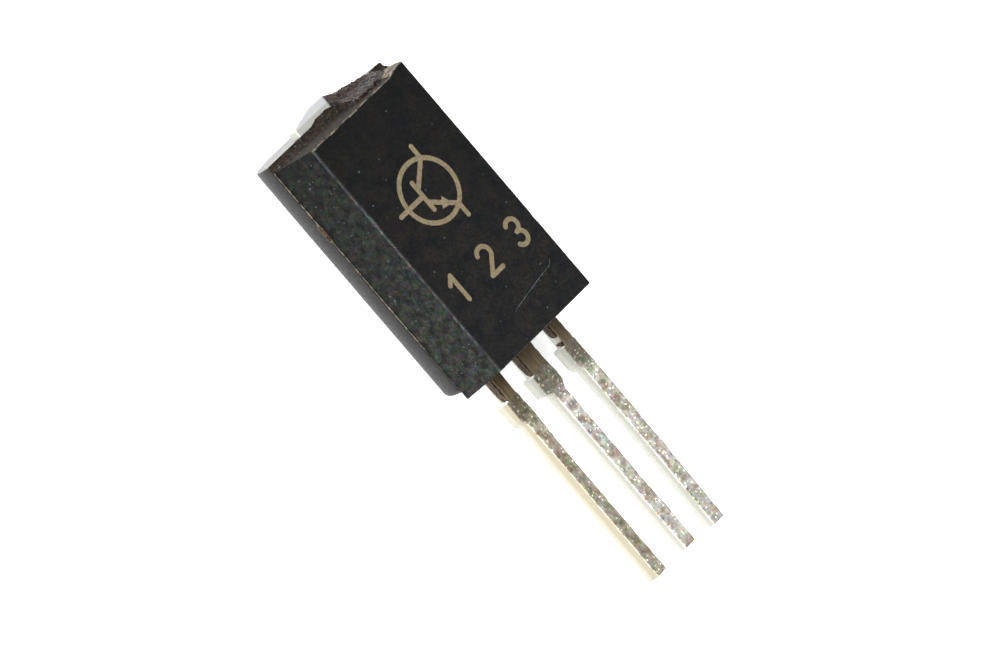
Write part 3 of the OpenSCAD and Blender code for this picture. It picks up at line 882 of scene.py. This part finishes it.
keep_resin("gate_break", with_modifiers(gate_lump(), ("DECIMATE", {"ratio": FACETS})),
           [snapped_resin])

# %% [markdown]
# ## Skin on the ledge
# Where the halves miss each other at the top end, a ledge of two tenths is left, and a torn skin
# of resin covers it and the root of the tie bar. It is drawn as stations across the ledge, each a
# short slope from the front half's end down to the ledge's rim, and roughened like the gate.

# %% Ledge skin
SKIN_STATIONS, SKIN_STEPS, SKIN_T = 150, 9, 0.012
SKIN_IN, SKIN_CLIMB, BAR_X, BAR_HALF = 0.03, 0.32, -0.1, 0.5


def skin_row(x):
    """One short slope of the skin, higher and further out over the tie bar."""
    ragged = noise.noise(Vector((x * 2.5, 3, 0))) + 0.5 * noise.noise(Vector((x * 8, 3, 5)))
    over_bar = max(0, 1 - abs(x - BAR_X) / BAR_HALF)
    out = HALF_SHIFT * (0.92 + 0.12 * ragged) + 0.1 * min(1, 2 * over_bar)
    climb = SKIN_CLIMB + 0.14 * noise.noise(Vector((x * 3, 9, 0)))
    row = []
    for j in range(SKIN_STEPS + 1):
        t = j / SKIN_STEPS
        bump = 0.03 * noise.noise(Vector((x * 9, t * 5, 2))) * math.sin(math.pi * t)
        y = FRONT_END - SKIN_IN + (out + SKIN_IN) * t
        z = SEAM_Z + climb * (1 - t) ** 1.6 + SKIN_T + bump
        row.append((x, y + bump, z))
    return row


def under_the_ledge(place):
    place.z = SEAM_Z - 0.04
    place.y -= 0.02


def ledge_skin():
    """The slopes joined to a sheet, and its rim sunk in the case."""
    form = bmesh.new()
    reach = BACK_R - 0.05
    rows = [[form.verts.new(place) for place in skin_row(-reach + 2 * reach * i / SKIN_STATIONS)]
            for i in range(SKIN_STATIONS + 1)]
    lump_of(form, rows, under_the_ledge)
    return form


keep_resin("ledge_skin", ledge_skin(), [dusty_end])

# %% [markdown]
# ## Resin films on the necks
# A film of resin ran down the cut side of each neck. They are brittle, and the one on the base
# lead has lost its lower part; only a crumb still sticks below the gap. Each is a thin slab with
# a ragged lower edge, thinner towards that edge.

# %% Films
FILM_T, FILM_H, FILM_ROOT, FILM_IN = 0.05, 0.27, 0.02, 0.01
FILM_ACROSS, FILM_ALONG = 14, 16


def neck_film(side_x, start, length, seed):
    """A film on the side of a neck at x, from start to length below the case."""
    form = bmesh.new()
    rows = []
    top = -FRONT_END + FILM_ROOT - start
    for i in range(FILM_ACROSS + 1):
        z = FRAME_TOP - FILM_H * i / FILM_ACROSS
        ragged = noise.noise(Vector((seed, z * 7, 0)))
        ragged += 0.5 * noise.noise(Vector((seed, z * 19, 4)))
        corner = 0.1 * (i / FILM_ACROSS) ** 3
        end = -FRONT_END - length * (1 - 0.12 * abs(ragged) - corner)
        row = []
        for j in range(FILM_ALONG + 1):
            thick = FILM_T * (1 - 0.6 * (j / FILM_ALONG) ** 4)
            dent = 0.006 * noise.noise(Vector((seed, z * 9, j * 0.7)))
            y = top + (end - top) * j / FILM_ALONG
            row.append(form.verts.new((side_x - thick + dent, y, z)))
        rows.append(row)

    def into_the_neck(place):
        place.x = side_x + FILM_IN

    lump_of(form, rows, into_the_neck)
    return form


# %% A film on each neck
FILM_L, BROKEN_L, CRUMB_START, CRUMB_END = 0.82, 0.52, 0.7, 0.84
OUTER_NECK, MIDDLE_NECK = 0.36, 0.6
EMITTER_SIDE, MIDDLE_SIDE = -PITCH - OUTER_NECK / 2, -MIDDLE_NECK / 2
BASE_SIDE = PITCH - OUTER_NECK / 2
for name, side_x, start, length in (("film_emitter", EMITTER_SIDE, 0, FILM_L),
                                    ("film_collector", MIDDLE_SIDE, 0, FILM_L),
                                    ("film_base", BASE_SIDE, 0, BROKEN_L),
                                    ("film_crumb", BASE_SIDE, CRUMB_START, CRUMB_END)):
    film = neck_film(side_x, start, length, seed=side_x + start)
    keep_resin(name, film, [thin_film])

# %% [markdown]
# ## The leads
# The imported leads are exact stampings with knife-sharp edges. Dipping rounds them over. A voxel
# remesh gives each lead an even skin that can be rounded and rippled, and only outside the case:
# the emitter's tail is also twisted a little, and the base's tip is bent by a hair.

# %% Skin of a lead
VOXEL = 0.03


def lead_form(node):
    """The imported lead, drawn again in the case's millimetres with a dense even skin."""
    form = bmesh.new()
    form.from_mesh(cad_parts[node].data)
    bmesh.ops.remove_doubles(form, verts=form.verts, dist=1e-7)
    form.transform(Matrix.Translation((-MID_X, -MID_Y, 0)) @ Matrix.Scale(1 / MM, 4))
    return with_modifiers(form, ("REMESH", {"mode": "VOXEL", "voxel_size": VOXEL}),
                          ("SMOOTH", {"factor": 0.5, "iterations": 1}))


# %% Ripples of the solder
# Solder is 6 microns thick. On the right-hand sides it pools to 0.02 mm more, and ripples most
RIPPLE, SOLDER_T, POOL = 0.012, 0.006, 0.02


def ripple(form, seed):
    """Rounds and ripples the skin outside the case."""
    form.normal_update()
    for v in form.verts:
        if v.co.y > -FRONT_END - 0.02:
            continue
        place = v.co * 3.2 + Vector((seed, 0, 0))
        right = max(0.0, v.normal.x)
        edge = 2 * max(0.0, -v.normal.x) * max(0.0, v.normal.z)
        waves = noise.noise(place) + 0.6 * noise.noise(place * 2.7)
        dent = RIPPLE * waves * (0.2 + 1.6 * right) + RIPPLE * noise.noise(place * 4) * edge
        v.co += v.normal * (dent + SOLDER_T + POOL * right)


# %% Twist and bend of a tail
TAIL_TOP, TWIST_L, BEND_L = STUB_END - 0.2, 1.2, 5


def set_tail(form, lowest, middle, twist, shift, bend):
    """Sets the tail as it was left by handling, and keeps its cut end where it was."""
    centre = FRAME_TOP - FRAME_T / 2
    for v in form.verts:
        down = min(1, max(0, (TAIL_TOP - v.co.y) / TWIST_L))
        v.co.y = max(v.co.y, lowest)
        if down:
            turned = math.radians(twist) * down
            x, z = v.co.x - middle, v.co.z - centre
            v.co.x = middle + x * math.cos(turned) + z * math.sin(turned)
            v.co.z = centre + z * math.cos(turned) - x * math.sin(turned)
            v.co.x += shift * down + bend * ((TAIL_TOP - v.co.y) / BEND_L) ** 2


# %% The three leads
for name, node, finish, middle, twist, shift, bend in (
        ("emitter_tinned", "emitter_lead", yellowed_shaded_tin, -PITCH, 12, -0.05, 0),
        ("collector_tinned", "collector_lead", bright_tin, 0, 0, 0, 0),
        ("base_tinned", "base_lead", bright_tin, PITCH, 0, 0, -0.06)):
    form = lead_form(node)
    lowest = min(v.co.y for v in form.verts) + 0.002
    ripple(form, seed=middle + 4)
    set_tail(form, lowest, middle, twist, shift, bend)
    keep(name, form, [finish], node)

# %% [markdown]
# ## Wear on the marked face
# A hair-fine scratch with a hook at its end crosses the face near the leads, and a few specks of
# dust cling to the resin. Both could be painted, but a raised lip and real specks keep their place
# in every view. They lie within the three microns by which the face was lowered.

# %% Scratch
# Lip of a scratch: resin turned up by the point, crushed, so it draws a thin grey line
scratched_lip = resin("epoxy_scratched_lip", "#2E3236", "#5A6066", rough=0.5, mirror=0.5,
                      cloud_mm=0.3, grit_mm=0.05, grit_depth=0.002)
SCRATCH = [(-0.43, -3.05), (-0.36, -3.0), (0.1, -2.93), (0.75, -2.84), (1.36, -2.77), (1.5, -2.66),
           (1.47, -2.6)]
LIP_W, LIP_H, LIP_STEP = 0.026, 0.002, 0.04


def scratch_stations():
    """Evenly spaced places along the scratch, on the face."""
    path = [Vector((x, y, FACE_Z - SHY)) for x, y in SCRATCH]
    stations = []
    for a, b in zip(path, path[1:]):
        count = max(2, int((b - a).length / LIP_STEP))
        stations += [a.lerp(b, i / count) for i in range(count)]
    return stations


def scratch_lip():
    """A low ridge with a ragged width that runs out at both ends."""
    form = bmesh.new()
    stations = scratch_stations()
    last = len(stations) - 1
    top = Vector((0, 0, LIP_H))
    rows = []
    for i, place in enumerate(stations):
        ahead = stations[min(i + 1, last)] - stations[max(i - 1, 0)]
        side = Vector((-ahead.y, ahead.x, 0)).normalized()
        ends = min(i, last - i) / 4
        half = LIP_W / 2 * min(1, 0.2 + ends) * (0.7 + 0.6 * noise.noise(place * 9))
        rows.append([form.verts.new(p) for p in (place - side * half, place + top,
                                                 place + side * half, place - top)])
    tube_of(form, rows)
    return form


keep_resin("face_scratch", scratch_lip(), [scratched_lip])

# %% Dust
# Dust: crushed resin and fibre, quite matt, so it shows as dim bluish points on the black
dust = resin("dust_fibre_specks", "#323D45", "#56656E", rough=0.9, mirror=0.2,
             cloud_mm=0.05, grit_mm=0.02, grit_depth=0.002)
ON_FACE = ((-1.33, 2.62), (-1.68, 1.7), (-0.75, 1.35), (0.45, -3.55))
SIDE_SPECKS, FACE_SPECK, SPECK_T = 16, 0.024, 0.1


def speck(form, x, y, z, size, flat):
    """One crumb of dust: a small rough lump, pressed flat along one axis."""
    made = bmesh.ops.create_icosphere(form, subdivisions=2, radius=1)["verts"]
    for v in made:
        v.co *= size * (1 + 0.5 * noise.noise(v.co * 1.7 + Vector((x * 9, y * 9, 0))))
        v.co[flat] *= SPECK_T
        v.co += Vector((x, y, z))


specks = bmesh.new()
random.seed(8)
for x, y in ON_FACE:
    speck(specks, x, y, FACE_Z - SHY, FACE_SPECK, 2)
for i in range(SIDE_SPECKS):
    y, down = random.uniform(-3.6, 3.6), random.uniform(0.1, 1.3)
    x = -FACE_W / 2 - (BACK_R - FACE_W / 2) * down / FRONT_DEPTH
    speck(specks, x, y, FACE_Z - down, random.uniform(0.012, 0.026), 0)
keep_resin("dust_specks", specks, [dust])

# %% [markdown]
# ## Marking
# The marking is stamped on the face in epoxy ink and baked: a matt tan, a little uneven. The packed
# marking already lies flush in the face, so it only gets that finish.

# %% Marking ink
# Baked epoxy ink: matt, roughness 0.8, with a pigment that clouds over 0.1 mm
tan_ink, tree, mm = begin("ink_baked_tan")
froth = add(tree, "TexNoise", {}, {"Vector": mm, "Scale": 12.0, "Detail": 4.0}, "Fac")
patchy = add(tree, "MapRange", {}, {"Value": froth, "From Min": 0.3, "From Max": 0.7})
pigment = add(tree, "Mix", {"data_type": "RGBA"},
              {BLEND: patchy, UNDER: colour("#685D46"), OVER: colour("#80745A")}, BLENDED)
ink = tinged(tree, mm, pigment, RELEASE_MM, 0.5)
pitted = add(tree, "Bump", {}, {"Height": froth, "Strength": 1.0, "Distance": 0.004 * MM},
             "Normal")
shine = add(tree, "BsdfPrincipled", {}, {"Base Color": ink, "Roughness": 0.8, "Normal": pitted})
add(tree, "OutputMaterial", {}, {"Surface": shine})


def dress(node, finish):
    """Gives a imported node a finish, and leaves its form alone."""
    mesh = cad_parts[node].data
    mesh.materials.clear()
    mesh.materials.append(finish)
    print(node, "gets", finish.name)


dress("printed_marking", tan_ink)

# %% [markdown]
# ## Inside the case
# The chip, its solder and the two bond wires are sealed in the resin. They keep their packed form
# and only get the look they have in an opened case: dark polished silicon, dull grey solder and
# gold wire.

# %% Chip, solder and wires


def inner(name, dark, light, roughness, metallic, grain_mm):
    """A finish in two close shades, mixed by a fine noise."""
    material, tree, mm = begin(name)
    cloud = add(tree, "TexNoise", {}, {"Vector": mm, "Scale": 1 / grain_mm, "Detail": 3.0}, "Fac")
    tone = add(tree, "Mix", {"data_type": "RGBA"},
               {BLEND: cloud, UNDER: colour(dark), OVER: colour(light)}, BLENDED)
    shine = add(tree, "BsdfPrincipled", {}, {"Base Color": tone, "Roughness": roughness,
                                             "Metallic": metallic})
    add(tree, "OutputMaterial", {}, {"Surface": shine})
    return material


# Silicon, polished: a dark blue-grey mirror
dress("silicon_chip", inner("silicon_polished", "#3A3D42", "#4A4E55", 0.2, 0, 0.1))
# Soft solder, set in air: a dull grey metal, a little frosted
dress("chip_solder", inner("solder_dull", "#8C8C88", "#A5A5A0", 0.5, 1, 0.05))
# Gold, drawn to wire: warm and bright
drawn_gold = inner("gold_drawn", "#D8A94A", "#E6BC62", 0.25, 1, 0.03)
for node in ("emitter_wire", "base_wire"):
    dress(node, drawn_gold)
